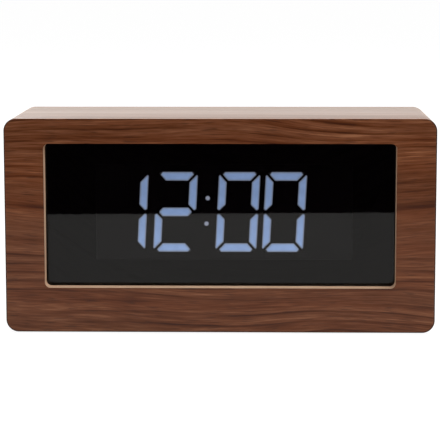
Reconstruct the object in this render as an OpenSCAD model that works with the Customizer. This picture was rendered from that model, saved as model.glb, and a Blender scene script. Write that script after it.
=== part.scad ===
// Digital table clock: a veneered box case with a smoked window, a seven-segment display behind it and a
// moulded rear cover with buttons, power inlet and battery compartment.
// Millimetres. Z is up, the front faces -Y, X runs to the right as the front is looked at.

/* [Case] */
// Width of the case over its veneer
case_w = 240; // [225:1:300]
// Height of the case over its veneer, without the feet
case_h = 120; // [110:1:150]
// Depth of the case from the front face to the rear edge
case_d = 90; // [84:1:130]
// Thickness of the boards of the case
board_t = 8; // [6:0.5:8.5]
// Thickness of the veneer
veneer_t = 0.6; // [0.5:0.1:0.8]
// Outside radius of the long edges
corner_r = 7; // [4:0.5:9]
// Width of the eased edge at both ends of the wrap
arris = 0.35; // [0.2:0.05:0.45]
// Diameter of the feet
foot_d = 12; // [8:1:16]
// Height of the feet
foot_h = 1; // [0.8:0.1:3]
// Distance of the feet from the sides of the case
foot_inset = 20; // [14:1:30]

/* [Window] */
// Width of the stile at each side of the window
stile_w = 22; // [16:0.5:26]
// Height of the rail above the window
top_rail = 14; // [13.5:0.5:20]
// Height of the rail below the window
bottom_rail = 25; // [22:0.5:30]
// Corner radius of the window
window_r = 3; // [1:0.5:6]
// Thickness of the window
lens_t = 2; // [1.5:0.1:3]
// How far the window reaches behind the front board on each side
lens_lap = 3; // [2:0.25:3.5]
// Thickness of the tape that holds the window
tape_t = 0.4; // [0.2:0.1:0.8]

/* [Digits] */
// Height of a digit
digit_h = 45.4; // [38:0.1:50]
// Width of a digit
digit_w = 23.4; // [20:0.1:24.5]
// Thickness of the level bars
level_bar = 5.1; // [4:0.1:6]
// Thickness of the upright bars
upright_bar = 4.7; // [4:0.1:6]
// Gap between neighbouring bars
bar_gap = 1.1; // [0.6:0.1:1.4]
// Cut at the outer corners of a digit
corner_cut = 2.4; // [1.4:0.1:3.5]
// Lean of the digits to the right, in degrees
lean = 3; // [0:0.5:8]
// Distance between the two hour digits
hour_pitch = 27.6; // [26:0.1:30]
// Distance between the two minute digits
minute_pitch = 26.2; // [25.5:0.1:30]
// Distance between the digits on both sides of the colon
colon_pitch = 35; // [32:0.5:40]
// Sideways place of the colon from the middle of the clock
colon_x = -7.7; // [-15:0.1:0]
// Height of the digits' middle above the middle of the window
digit_rise = 1.1; // [-3:0.1:3]
// Diameter of a colon dot
dot_d = 2.6; // [2.5:0.1:5]
// Distance between the colon dots
dot_pitch = 14.4; // [10:0.1:20]
// Height of the dots' middle above the digits' middle
dot_rise = 0.6; // [-2:0.1:2]
// Sideways place of the dots from the middle between the digits beside them
dot_shift = 0.3; // [-2:0.1:2]
// Tens of hours shown
hour_tens = 1; // [0:1:2]
// Units of hours shown
hour_units = 2; // [0:1:9]
// Tens of minutes shown
minute_tens = 0; // [0:1:5]
// Units of minutes shown
minute_units = 0; // [0:1:9]

/* [Display module] */
// Depth of the digit block
block_t = 9; // [6:0.5:12]
// Margin of the digit block left of the digits
margin_left = 4; // [3:0.5:10]
// Margin of the digit block right of the digits
margin_right = 25; // [3:0.5:28]
// Margin of the digit block above and below the digits
margin_height = 4; // [3:0.5:6]
// Thickness of the black film on the digit block
film_t = 0.3; // [0.2:0.05:0.5]
// Depth of the cast light bars
bar_depth = 3; // [2:0.5:5]
// Thickness of the display carrier's plate
carrier_t = 2; // [1.6:0.1:3]
// Thickness of the boards that carry the electronics
pcb_t = 1.6; // [1:0.1:2]

/* [Rear cover] */
// Depth of the rear cover inside the case's rear edge
rear_recess = 4; // [3:0.5:8]
// Thickness of the rear cover
cover_t = 3; // [3:0.1:4]
// Gap between the rear cover and the case
cover_gap = 0.3; // [0.2:0.05:0.6]
// Side of the square corner blocks
corner_block = 14; // [12:0.5:16]
// Length of the corner blocks
corner_block_l = 30; // [20:1:40]
// Diameter of a button
button_d = 8.4; // [7:0.1:9.5]
// Gap round a button in its hole
button_gap = 0.35; // [0.3:0.05:0.5]
// Distance between the buttons
button_pitch = 18; // [15:0.5:20]
// How far a button stands out of the rear cover
button_proud = 1.8; // [1:0.1:2.4]
// Travel of a button
button_travel = 0.4; // [0.3:0.05:0.6]
// Sideways place of the middle button
button_x = 8; // [0:0.5:10]
// Height of the buttons below the top of the case
button_drop = 35; // [30:0.5:40]
// Distance from the middle button to the power inlet
inlet_offset = 64; // [58:0.5:70]
// Sideways place of the sounder
sounder_x = -44; // [-60:0.5:-40]
// Diameter of the sounder
sounder_d = 23; // [18:0.5:26]

/* [Battery] */
// Diameter of a cell
cell_d = 10.5; // [10:0.1:11]
// Length of a cell with its cap
cell_l = 44.5; // [43:0.1:46]
// Length of a fitted contact spring
spring_l = 4.4; // [4:0.1:6]
// Sideways place of the battery compartment
battery_x = 40; // [34:0.5:50]
// Height of the battery compartment's middle above the bottom of the case
battery_rise = 40; // [34:0.5:42]
// Thickness of the battery door
door_t = 2.4; // [2.2:0.1:2.6]
// Gap round the battery door
door_gap = 0.4; // [0.3:0.05:0.6]
// Diameter of the hinge pins of the battery door
hinge_d = 1.4; // [1.2:0.1:1.4]
// Radial running clearance of the hinge pins
hinge_gap = 0.05; // [0.03:0.01:0.08]

/* [Hidden] */
$fn = 48;
eps = 0.01;

// Levels across the depth, front to rear
y_front = -case_d / 2;
y_rear = case_d / 2;
y_board = y_front + veneer_t;
y_tape = y_board + board_t;
y_lens = y_tape + tape_t;
y_plate = y_lens + lens_t;
y_film = y_plate + 0.4;
y_block = y_film + film_t;
y_pcb = y_block + block_t;
y_pcb_rear = y_pcb + pcb_t;
y_cover_out = y_rear - rear_recess;
y_cover_in = y_cover_out - cover_t;

// Inside of the case
wall = board_t + veneer_t;
z_low = foot_h;
z_mid = foot_h + case_h / 2;
inner_w = case_w - 2 * wall;
inner_h = case_h - 2 * wall;
z_floor = foot_h + wall;
core_w = case_w - 2 * veneer_t;
core_h = case_h - 2 * veneer_t;
core_r = corner_r - veneer_t;

// Window and its lens
window_w = case_w - 2 * stile_w;
window_h = case_h - top_rail - bottom_rail;
window_z = foot_h + bottom_rail + window_h / 2;
lens_w = window_w + 2 * lens_lap;
lens_h = window_h + 2 * lens_lap;
lens_gap = 0.2;
tape_inset = 0.5;

// Digits
digit_z = window_z + digit_rise;
digit_x = [colon_x - colon_pitch / 2 - hour_pitch, colon_x - colon_pitch / 2,
  colon_x + colon_pitch / 2, colon_x + colon_pitch / 2 + minute_pitch];
shown = [hour_tens, hour_units, minute_tens, minute_units];
bars_of = ["abcdef", "bc", "abged", "abgcd", "fgbc", "afgcd", "afgcde", "abc", "abcdefg", "abcdfg"];
lean_x = digit_h / 2 * tan(lean);
block_left = digit_x[0] - digit_w / 2 - lean_x - margin_left;
block_right = digit_x[3] + digit_w / 2 + lean_x + margin_right;
block_w = block_right - block_left;
block_x = (block_left + block_right) / 2;
block_h = digit_h + 2 * margin_height;
block_gap = 0.2;

// Display board and carrier
post_d = 6;
pilot_d = 2.3;
small_screw_d = 2.2;
board_ear = 8;
pcb_w = block_w + 2 * board_ear;
pcb_h = block_h + 2;
pcb_post_x = block_w / 2 + board_ear / 2;
pcb_post_z = block_h / 2 - 6;
carrier_gap = 0.5;
carrier_w = inner_w - 2 * carrier_gap;
carrier_h = inner_h - 2 * carrier_gap;
wood_screw_d = 2.8;
wood_pilot_d = 2.9;
carrier_head_t = 2;
rear_head_t = 2.2;
rear_screw_l = 14;
rear_pilot_l = 16;
small_head_d = 4.4;
small_head_t = 1.6;
small_screw_l = 4.6;
small_pilot_l = 5;
board_hole_d = 2.8;
screw_hole_d = 3.3;
side_screw_x = (lens_w / 2 + inner_w / 2) / 2;
side_screw_z = lens_h / 4;
low_screw_x = lens_w / 4;
low_screw_z = (z_floor + window_z - lens_h / 2) / 2;
carrier_screw_at = [[-side_screw_x, window_z - side_screw_z], [-side_screw_x, window_z + side_screw_z],
  [side_screw_x, window_z - side_screw_z], [side_screw_x, window_z + side_screw_z],
  [-low_screw_x, low_screw_z], [low_screw_x, low_screw_z]];

// Rear cover and corner blocks
cover_w = inner_w - 2 * cover_gap;
cover_h = inner_h - 2 * cover_gap;
rear_screw_x = inner_w / 2 - corner_block / 2;
rear_screw_z = inner_h / 2 - corner_block / 2;
head_d = 6;
head_sink = 1.2;
cover_r = 1.5;
cover_ease = 0.8;

// Buttons, switches and key board
button_z = foot_h + case_h - button_drop;
button_at = [for (i = [0:4]) button_x + (2 - i) * button_pitch];
button_hole_d = button_d + 2 * button_gap;
flange_t = 1.2;
flange_rest = 0.35;
stem_l = 1.4;
plunger_d = 3.5;
plunger_gap = 0.35;
switch_w = 6.2;
switch_t = 3.5;
y_flange = y_cover_in - flange_rest - flange_t;
y_stem = y_flange - stem_l;
plunger_out = button_travel + 1.1;
plunger_seat = 1.4;
plunger_room = 0.6;
stem_d = 4;
flange_lip = 1.4;
dome_r = 14;
y_switch = y_stem - plunger_out;
y_key = y_switch - switch_t;
y_key_front = y_key - pcb_t;
inlet_x = button_x - inlet_offset;
key_left = inlet_x - 14;
key_right = button_x + 2 * button_pitch + 14;
key_h = 26;
key_post_z = 9;
key_post_x = [key_left + 4.5, key_right - 4.5];
sounder_z = foot_h + battery_rise;
sounder_t = 6;

// Power inlet
inlet_w = 9;
inlet_barrel_d = 8;
inlet_hole_d = inlet_barrel_d + 0.6;
inlet_bore_d = 5.7;
inlet_pin_d = 2;
y_inlet_out = y_cover_out - 0.5;
y_inlet_floor = y_key + 2;

// Battery compartment
battery_z = foot_h + battery_rise;
contact_t = 0.4;
cell_rest = 0.1;
bay_w = cell_l + spring_l + 2 * contact_t + 3 * cell_rest;
bay_rib = 1;
bay_h = 2 * cell_d + bay_rib + 1;
bay_wall = 1.6;
bay_depth = cell_d + 0.8;
rebate_w = bay_w + 2 * bay_wall;
rebate_h = bay_h + 2 * bay_wall;
rebate_depth = door_t + 0.3;
y_rebate = y_cover_out - rebate_depth;
y_bay = y_rebate - bay_depth;
door_w = rebate_w - 2 * door_gap;
door_h = rebate_h - 2 * door_gap;
y_hinge = y_cover_out - door_t / 2;
hinge_x = battery_x + door_w / 2 - door_t / 2;
hinge_reach = 1.6;
cell_dz = (cell_d + bay_rib) / 2;
y_cell = y_bay + cell_d / 2 + 0.3;
bay_end = battery_x - bay_w / 2;
rib_inset = 8;
rib_rise = 3;
contact_w = 8.4;
contact_h = 9;
tab_w = 3;
tab_out = 2.5;
tab_gap = 0.1;
lead_d = 1.3;
lead_r = 2.5;
lead_pad = [2.5, 5.2];
lead_bow = [5.5, 8.5];
sounder_bow = 4.5;
sounder_lead_x = 3;
key_field_h = 17;
key_sink = 0.5;

// Extrudes a flat shape, drawn in X and Z, from one depth to another
module slab(y0, y1) translate([0, y1, 0]) rotate([90, 0, 0]) linear_extrude(y1 - y0) children();

// A rod along the depth at a place in X and Z
module rod(x, z, d, y0, y1) translate([x, y1, z]) rotate([90, 0, 0]) cylinder(d = d, h = y1 - y0);

// A box given by its two corners
module box(low, high) translate(low) cube(high - low);

// A rectangle with round corners, about the origin
module round_rect(w, h, r) {
  square([w - 2 * r, h], center = true);
  square([w, h - 2 * r], center = true);
  for (sx = [-1, 1], sz = [-1, 1]) translate([sx * (w / 2 - r), sz * (h / 2 - r)]) circle(r);
}

// A round-cornered slab from depth y0 to y1, about z_mid, with its edge eased by e0 and e1 at the two ends
function eased_side(half, t, e0, e1) = concat(e0 > 0 ? [[half - e0, 0]] : [], [[half, e0], [half, t - e1]],
  e1 > 0 ? [[half - e1, t]] : []);
function both_sides(side) = concat(side, [for (i = [len(side) - 1:-1:0]) [-side[i][0], side[i][1]]]);
module eased_slab(w, h, r, y0, y1, e0, e1) translate([0, y0, z_mid]) rotate([-90, 0, 0]) {
  t = y1 - y0;
  rotate([90, 0, 90]) linear_extrude(w - 2 * r, center = true) polygon(both_sides(eased_side(h / 2, t, e0, e1)));
  rotate([90, 0, 0]) linear_extrude(h - 2 * r, center = true) polygon(both_sides(eased_side(w / 2, t, e0, e1)));
  for (sx = [-1, 1], sz = [-1, 1]) translate([sx * (w / 2 - r), sz * (h / 2 - r), 0]) rotate_extrude()
    polygon(concat([[0, 0]], eased_side(r, t, e0, e1), [[0, t]]));
}

// A pan-head screw along the depth: its shank runs from y_tip to y_head, its head on to y_head + head_t
module pan_screw(x, z, shank_d, d, head_t, y_tip, y_head) {
  translate([x, y_head, z]) rotate([-90, 0, 0]) difference() {
    union() {
      rotate_extrude() polygon([[0, 0], [d / 2, 0], [d / 2, head_t * 0.55], [d / 2 - head_t * 0.3, head_t],
        [0, head_t]]);
      translate([0, 0, y_tip - y_head]) cylinder(d = shank_d, h = y_head - y_tip + eps);
    }
    for (turn = [0, 90]) rotate([0, 0, turn]) translate([0, 0, head_t])
      cube([d * 0.55, d * 0.14, head_t], center = true);
  }
}

// The same screw with its head towards the front
module front_screw(x, z, shank_d, d, head_t, y_tip, y_head)
  translate([x, y_head, 0]) mirror([0, 1, 0]) translate([-x, -y_head, 0])
    pan_screw(x, z, shank_d, d, head_t, 2 * y_head - y_tip, y_head);

// Outline of one bar of a digit, by its letter, before the digit leans
bar_angle = atan2(level_bar, upright_bar);
cut_x = bar_gap / 2 / sin(bar_angle);
cut_z = bar_gap / 2 / cos(bar_angle);
tip_z = 0.8;
tip_in = 1.3;
tip_blunt = 0.6;
function bar_a(w, h, u, l) = let (s = (corner_cut - cut_x) / (u + l), tx = w - cut_x - s * u, tz = h - s * l)
  [[-w + corner_cut, h], [w - corner_cut, h], [tx, tz], [w - u - cut_x, h - l], [-w + u + cut_x, h - l],
    [-tx, tz]];
function bar_b(w, h, u, l) = let (s = (corner_cut - cut_z) / (u + l))
  [[w, h - corner_cut], [w, tip_z + 0.8], [w - tip_in, tip_z], [w - u, tip_z + u - tip_in],
    [w - u, h - l - cut_z], [w - s * u, h - cut_z - s * l]];
function bar_g(w, l) = let (tip = w - tip_in + tip_z - bar_gap * sqrt(2))
  [[tip - tip_blunt, tip_blunt], [tip - tip_blunt, -tip_blunt], [tip - l / 2, -l / 2], [-tip + l / 2, -l / 2],
    [-tip + tip_blunt, -tip_blunt], [-tip + tip_blunt, tip_blunt], [-tip + l / 2, l / 2], [tip - l / 2, l / 2]];
function flip(points, sx, sz) = [for (p = points) [p[0] * sx, p[1] * sz]];
function bar_points(letter) = let (w = digit_w / 2, h = digit_h / 2, u = upright_bar, l = level_bar)
  letter == "a" ? bar_a(w, h, u, l) : letter == "d" ? flip(bar_a(w, h, u, l), 1, -1) :
  letter == "b" ? bar_b(w, h, u, l) : letter == "c" ? flip(bar_b(w, h, u, l), 1, -1) :
  letter == "e" ? flip(bar_b(w, h, u, l), -1, -1) : letter == "f" ? flip(bar_b(w, h, u, l), -1, 1) :
  bar_g(w, l);
function leaning(points, x) = [for (p = points) [x + p[0] + p[1] * tan(lean), digit_z + p[1]]];
function is_lit(i, letter) = len(search(letter, bars_of[shown[i]])) > 0;
letters = "abcdefg";
dot_at = [for (s = [-1, 1]) [colon_x + dot_shift + s * dot_pitch / 2 * tan(lean),
  digit_z + dot_rise + s * dot_pitch / 2]];

// The flat shapes of the bars: all of them, the lit ones or the dark ones
module bar_shapes(lit, dark) for (i = [0:3], letter = letters)
  if (is_lit(i, letter) ? lit : dark) polygon(leaning(bar_points(letter), digit_x[i]));
module dot_shapes() for (p = dot_at) translate(p) circle(d = dot_d);

// Middle of a bar and the direction that it runs in
function bar_middle(letter) = let (p = bar_points(letter)) [for (k = [0, 1])
  (max([for (q = p) q[k]]) + min([for (q = p) q[k]])) / 2];
function runs_level(letter) = len(search(letter, "adg")) > 0;

// Case

// The veneer round the long sides, eased at both ends
module case_wrap() color([0.36, 0.21, 0.14]) difference() {
  eased_slab(case_w, case_h, corner_r, y_front, y_rear, arris, arris);
  slab(y_front - 1, y_rear + 1) translate([0, z_mid]) round_rect(core_w, core_h, core_r);
}

module window_hole() translate([0, window_z]) round_rect(window_w, window_h, window_r);

module front_veneer() color([0.38, 0.22, 0.14]) slab(y_front, y_board) difference() {
  translate([0, z_mid]) round_rect(core_w, core_h, core_r);
  window_hole();
}

module front_board() color([0.66, 0.54, 0.44]) difference() {
  slab(y_board, y_tape) difference() {
    translate([0, z_mid]) round_rect(core_w, core_h, core_r);
    window_hole();
  }
  for (p = carrier_screw_at) rod(p[0], p[1], wood_pilot_d, y_tape - board_t * 0.7, y_tape + 1);
}

// One mitred board of the case, as its outline: w and h are the core's, seen with the board on top
module mitred(w, h) polygon([[-w / 2, h / 2], [w / 2, h / 2], [w / 2 - board_t, h / 2 - board_t],
  [-w / 2 + board_t, h / 2 - board_t]]);
module panel_shape(turn) slab(y_tape, y_rear) translate([0, z_mid]) intersection() {
  round_rect(core_w, core_h, core_r);
  if (turn % 180 == 0) rotate(turn) mitred(core_w, core_h);
  else rotate(turn) mitred(core_h, core_w);
}
module top_panel() color([0.62, 0.5, 0.4]) panel_shape(0);
module bottom_panel() color([0.62, 0.5, 0.4]) panel_shape(180);
module left_panel() color([0.62, 0.5, 0.4]) panel_shape(90);
module right_panel() color([0.62, 0.5, 0.4]) panel_shape(270);

module corner_blocks() color([0.75, 0.62, 0.45]) for (sx = [-1, 1], sz = [-1, 1]) difference() {
  translate([sx * rear_screw_x, y_cover_in - corner_block_l / 2, z_mid + sz * rear_screw_z])
    cube([corner_block, corner_block_l, corner_block], center = true);
  rod(sx * rear_screw_x, z_mid + sz * rear_screw_z, wood_pilot_d, y_cover_in - rear_pilot_l, y_cover_in + 1);
}

module feet() color([0.08, 0.08, 0.08]) for (sx = [-1, 1], sy = [-1, 1])
  translate([sx * (case_w / 2 - foot_inset), sy * (case_d / 2 - foot_inset), 0]) {
    cylinder(d1 = foot_d - 0.6, d2 = foot_d, h = foot_h * 0.4);
    translate([0, 0, foot_h * 0.4]) cylinder(d = foot_d, h = foot_h * 0.6);
  }

// Window and display

module lens_tape() color([0.1, 0.1, 0.1]) slab(y_tape, y_lens) translate([0, window_z]) difference() {
  square([lens_w - tape_inset, lens_h - tape_inset], center = true);
  round_rect(window_w + tape_inset, window_h + tape_inset, window_r);
}

module window_lens() color([0.05, 0.05, 0.06, 0.6]) slab(y_lens, y_plate) translate([0, window_z])
  square([lens_w, lens_h], center = true);

module pcb_posts() for (sx = [-1, 1], sz = [-1, 1]) translate([block_x + sx * pcb_post_x, digit_z + sz * pcb_post_z])
  children();

module display_carrier() color([0.05, 0.05, 0.05]) difference() {
  union() {
    slab(y_tape, y_plate + carrier_t) translate([0, z_mid]) round_rect(carrier_w, carrier_h, 2);
    slab(y_plate + carrier_t - eps, y_pcb) pcb_posts() circle(d = post_d);
    slab(y_plate + carrier_t - eps, y_pcb - 2.5) difference() {
      translate([block_x, digit_z]) square([block_w + 3.4, block_h + 3.4], center = true);
      translate([block_x, digit_z]) square([block_w + 2 * block_gap, block_h + 2 * block_gap], center = true);
    }
  }
  slab(y_tape - 1, y_plate) translate([0, window_z])
    square([lens_w + 2 * lens_gap, lens_h + 2 * lens_gap], center = true);
  slab(y_plate - 1, y_pcb + 1) translate([block_x, digit_z])
    square([block_w + 2 * block_gap, block_h + 2 * block_gap], center = true);
  slab(y_pcb - small_pilot_l, y_pcb + 1) pcb_posts() circle(d = pilot_d);
  for (p = carrier_screw_at) rod(p[0], p[1], screw_hole_d, y_tape - 1, y_plate + carrier_t + 1);
}

module carrier_screws() color([0.7, 0.7, 0.72]) for (p = carrier_screw_at)
  pan_screw(p[0], p[1], wood_screw_d, head_d, carrier_head_t, y_tape - board_t * 0.6, y_plate + carrier_t);

module display_film() color([0.02, 0.02, 0.02]) slab(y_film, y_block) difference() {
  translate([block_x, digit_z]) square([block_w, block_h], center = true);
  bar_shapes(true, true);
  dot_shapes();
}

module lit_bars() color([0.6, 0.72, 0.95]) slab(y_film, y_block + bar_depth) {
  bar_shapes(true, false);
  dot_shapes();
}

module dark_bars() color([0.09, 0.09, 0.1]) slab(y_film, y_block + bar_depth) bar_shapes(false, true);

// The light well behind a bar: a ledge carries the cast bar, and the well narrows from it to the board
well_mouth = 0.9;
well_taper = 0.68;
module light_well(i, letter) {
  m = leaning([bar_middle(letter)], digit_x[i])[0];
  translate([m[0], y_block + bar_depth - eps, m[1]]) rotate([-90, 0, 0]) mirror([0, 1, 0])
    linear_extrude(block_t - bar_depth + 2 * eps, scale = well_taper)
      polygon([for (p = leaning(bar_points(letter), digit_x[i])) (p - m) * well_mouth]);
}

module digit_block() color([0.88, 0.88, 0.86]) difference() {
  slab(y_block, y_pcb) difference() {
    translate([block_x, digit_z]) square([block_w, block_h], center = true);
    dot_shapes();
  }
  slab(y_block - 1, y_block + bar_depth) bar_shapes(true, true);
  for (i = [0:3], letter = letters) light_well(i, letter);
}

chip_l = 2;
chip_w = 1.25;
chip_t = 0.8;
chip_spread = 2.6;
module light_chips() color([0.95, 0.9, 0.6]) {
  for (i = [0:3], letter = letters, s = [-1, 1]) {
    m = bar_middle(letter);
    along = runs_level(letter) ? [s * chip_spread, 0] : [0, s * chip_spread];
    p = leaning([m + along], digit_x[i])[0];
    translate([p[0], y_pcb - chip_t / 2, p[1]]) cube([chip_l, chip_t, chip_w], center = true);
  }
  for (p = dot_at) translate([p[0], y_pcb - chip_t / 2, p[1]]) cube([chip_l, chip_t, chip_w], center = true);
}

module display_board() color([0.1, 0.3, 0.16]) slab(y_pcb, y_pcb_rear) difference() {
  translate([block_x, digit_z]) square([pcb_w, pcb_h], center = true);
  pcb_posts() circle(d = board_hole_d);
}

module display_screws() color([0.7, 0.7, 0.72]) for (sx = [-1, 1], sz = [-1, 1])
  pan_screw(block_x + sx * pcb_post_x, digit_z + sz * pcb_post_z, small_screw_d, small_head_d, small_head_t,
    y_pcb - small_screw_l, y_pcb_rear);

chip_shift = 20;
chip_at = [block_x - chip_shift, digit_z];
module clock_chip() color([0.06, 0.06, 0.06]) {
  translate([chip_at[0], y_pcb_rear + 0.3 + 1.15, chip_at[1]]) cube([18, 2.3, 7.5], center = true);
  for (i = [-6:6], sz = [-1, 1]) {
    box([chip_at[0] + i * 1.27 - 0.2, y_pcb_rear, chip_at[1] + sz * 4.4 - 0.75],
      [chip_at[0] + i * 1.27 + 0.2, y_pcb_rear + 0.25, chip_at[1] + sz * 4.4 + 0.75]);
    box([chip_at[0] + i * 1.27 - 0.2, y_pcb_rear, chip_at[1] + sz * 4 - 0.3],
      [chip_at[0] + i * 1.27 + 0.2, y_pcb_rear + 1.2, chip_at[1] + sz * 4 + 0.3]);
  }
}

can_d = 3;
can_l = 8;
can_rise = 13;
module crystal_can() color([0.75, 0.75, 0.77])
  translate([chip_at[0], y_pcb_rear + can_d / 2, digit_z + can_rise]) rotate([0, 90, 0])
    cylinder(d = can_d, h = can_l, center = true);

capacitor_d = 6.3;
capacitor_l = 7.7;
capacitor_at = [42, 10];
capacitor_pitch = 12;
module capacitors() color([0.12, 0.14, 0.2]) for (i = [0, 1])
  rod(block_x + capacitor_at[0] + i * capacitor_pitch, digit_z + capacitor_at[1], capacitor_d, y_pcb_rear,
    y_pcb_rear + capacitor_l);

// Sockets and the flat cable between the two boards
socket_x = button_x + button_pitch / 2;
socket_w = 12;
socket_h = 5.5;
socket_t = 4.4;
socket_z = min(button_z - 3, digit_z + pcb_h / 2 - 6);
cable_w = 8;
cable_t = 0.9;
cable_sag = 8;
module display_socket() color([0.9, 0.88, 0.8])
  box([socket_x - socket_w / 2, y_pcb_rear, socket_z - socket_h / 2],
    [socket_x + socket_w / 2, y_pcb_rear + socket_t, socket_z + socket_h / 2]);
module key_socket() color([0.9, 0.88, 0.8])
  box([socket_x - socket_w / 2, y_key_front - socket_t, socket_z - socket_h / 2],
    [socket_x + socket_w / 2, y_key_front, socket_z + socket_h / 2]);
function cable_line(t, y0, y1) = [y0 + (y1 - y0) * t, socket_z - cable_sag * (1 - cos(360 * t)) / 2];
module flat_cable() color([0.5, 0.5, 0.52]) {
  y0 = y_pcb_rear + socket_t;
  y1 = y_key_front - socket_t;
  n = 24;
  upper = [for (i = [0:n]) cable_line(i / n, y0, y1) + [0, cable_t / 2]];
  lower = [for (i = [n:-1:0]) cable_line(i / n, y0, y1) - [0, cable_t / 2]];
  translate([socket_x - cable_w / 2, 0, 0]) rotate([90, 0, 90]) linear_extrude(cable_w)
    polygon(concat(upper, lower));
}

// Rear cover and what it carries

module key_posts() for (x = key_post_x, s = [-1, 1]) translate([x, button_z + s * key_post_z]) children();

module cover_ribs() {
  long = inner_w / 2 - corner_block - 2;
  tall = inner_h / 2 - corner_block - 2;
  for (s = [-1, 1]) {
    translate([0, y_cover_in - 2, z_mid + s * (cover_h / 2 - 2)]) cube([2 * long, 4 + eps, 1.6], center = true);
    translate([s * (cover_w / 2 - 2), y_cover_in - 2, z_mid]) cube([1.6, 4 + eps, 2 * tall], center = true);
  }
}

module sound_holes() {
  translate([sounder_x, sounder_z]) circle(d = 2);
  for (ring = [1, 2], i = [0:6 * ring - 1]) translate([sounder_x, sounder_z])
    rotate(i * 60 / ring) translate([ring * 3.6, 0]) circle(d = 2);
}

// The rib on the floor of the battery compartment, between the cells
module bay_rib_bar() box([battery_x - bay_w / 2 + rib_inset, y_bay - eps, battery_z - bay_rib * 0.4],
  [battery_x + bay_w / 2 - rib_inset, y_bay + rib_rise, battery_z + bay_rib * 0.4]);

module rear_cover() color([0.06, 0.06, 0.06]) {
  cover_shell();
  bay_rib_bar();
}

module cover_shell() difference() {
  union() {
    eased_slab(cover_w, cover_h, cover_r, y_cover_in, y_cover_out, 0, cover_ease);
    cover_ribs();
    slab(y_key, y_cover_in + eps) key_posts() circle(d = post_d);
    box([battery_x - rebate_w / 2, y_bay - bay_wall, battery_z - rebate_h / 2],
      [battery_x + rebate_w / 2, y_cover_in + eps, battery_z + rebate_h / 2]);
    slab(y_cover_in - 3, y_cover_in + eps) translate([sounder_x, sounder_z]) difference() {
      circle(d = sounder_d + 3.6);
      circle(d = sounder_d + 0.6);
    }
  }
  for (sx = [-1, 1], sz = [-1, 1]) {
    rod(sx * rear_screw_x, z_mid + sz * rear_screw_z, screw_hole_d, y_cover_in - 1, y_cover_out + 1);
    rod(sx * rear_screw_x, z_mid + sz * rear_screw_z, head_d + 0.8, y_cover_out - head_sink, y_cover_out + 1);
  }
  for (x = button_at) rod(x, button_z, button_hole_d, y_cover_in - 1, y_cover_out + 1);
  slab(y_key - 1, y_key + small_pilot_l) key_posts() circle(d = pilot_d);
  rod(inlet_x, button_z, inlet_hole_d, y_cover_in - 1, y_cover_out + 1);
  slab(y_cover_in - 1, y_cover_out + 1) sound_holes();
  box([battery_x - rebate_w / 2, y_rebate, battery_z - rebate_h / 2],
    [battery_x + rebate_w / 2, y_cover_out + 1, battery_z + rebate_h / 2]);
  box([battery_x - bay_w / 2, y_bay, battery_z - bay_h / 2],
    [battery_x + bay_w / 2, y_cover_out + 1, battery_z + bay_h / 2]);
  translate([hinge_x, y_hinge, battery_z])
    cylinder(d = hinge_d + 2 * hinge_gap, h = rebate_h + 2 * hinge_reach, center = true);
  rod(battery_x - rebate_w / 2, battery_z, 12, y_cover_out - 1.4, y_cover_out + 1);
  slab(y_cover_out - key_sink, y_cover_out + 1) translate([button_x, button_z])
    round_rect(4 * button_pitch + key_field_h, key_field_h, key_field_h / 2 - 0.5);
  for (s = [-1, 1]) box([bay_end - tab_gap, y_bay - bay_wall - 1, battery_z + s * cell_dz - tab_w / 2 - tab_gap],
    [bay_end + contact_t + tab_gap, y_bay + eps, battery_z + s * cell_dz + tab_w / 2 + tab_gap]);
}

module rear_screws() color([0.3, 0.3, 0.32]) for (sx = [-1, 1], sz = [-1, 1])
  pan_screw(sx * rear_screw_x, z_mid + sz * rear_screw_z, wood_screw_d, head_d, rear_head_t,
    y_cover_in - rear_screw_l, y_cover_out - head_sink);

module key_board() color([0.1, 0.3, 0.16]) slab(y_key_front, y_key) difference() {
  translate([(key_left + key_right) / 2, button_z]) square([key_right - key_left, key_h], center = true);
  key_posts() circle(d = board_hole_d);
}

module key_screws() color([0.7, 0.7, 0.72]) for (x = key_post_x, s = [-1, 1])
  front_screw(x, button_z + s * key_post_z, small_screw_d, small_head_d, small_head_t, y_key + small_screw_l,
    y_key_front);

module switch_bodies() color([0.15, 0.15, 0.16]) for (x = button_at) difference() {
  translate([x, (y_key + y_switch) / 2, button_z]) cube([switch_w, switch_t, switch_w], center = true);
  rod(x, button_z, plunger_d + 2 * plunger_gap, y_switch - plunger_seat - button_travel - plunger_room,
    y_switch + 1);
}

// A push button: stem, flange behind the cover and domed cap, turned about its own axis
module button(i) color([0.1, 0.1, 0.1]) translate([button_at[i], y_stem, button_z]) rotate([-90, 0, 0]) {
  cap = y_cover_out + button_proud - y_stem;
  under = stem_l + flange_t;
  lip = button_d / 2 + flange_lip;
  intersection() {
    rotate_extrude() polygon([[0, 0], [stem_d / 2, 0], [stem_d / 2, stem_l], [lip, stem_l], [lip, under],
      [button_d / 2, under], [button_d / 2, cap + 1], [0, cap + 1]]);
    translate([0, 0, cap - dome_r]) sphere(dome_r);
  }
}
module plunger(i) color([0.85, 0.85, 0.83])
  rod(button_at[i], button_z, plunger_d, y_switch - plunger_seat, y_stem);

module inlet_body() color([0.05, 0.05, 0.05]) difference() {
  union() {
    translate([inlet_x, (y_key + y_cover_in - 0.6) / 2, button_z])
      cube([inlet_w, y_cover_in - 0.6 - y_key, inlet_w], center = true);
    rod(inlet_x, button_z, inlet_barrel_d, y_cover_in - 1, y_inlet_out);
  }
  rod(inlet_x, button_z, inlet_bore_d, y_inlet_floor, y_inlet_out + 1);
}

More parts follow.
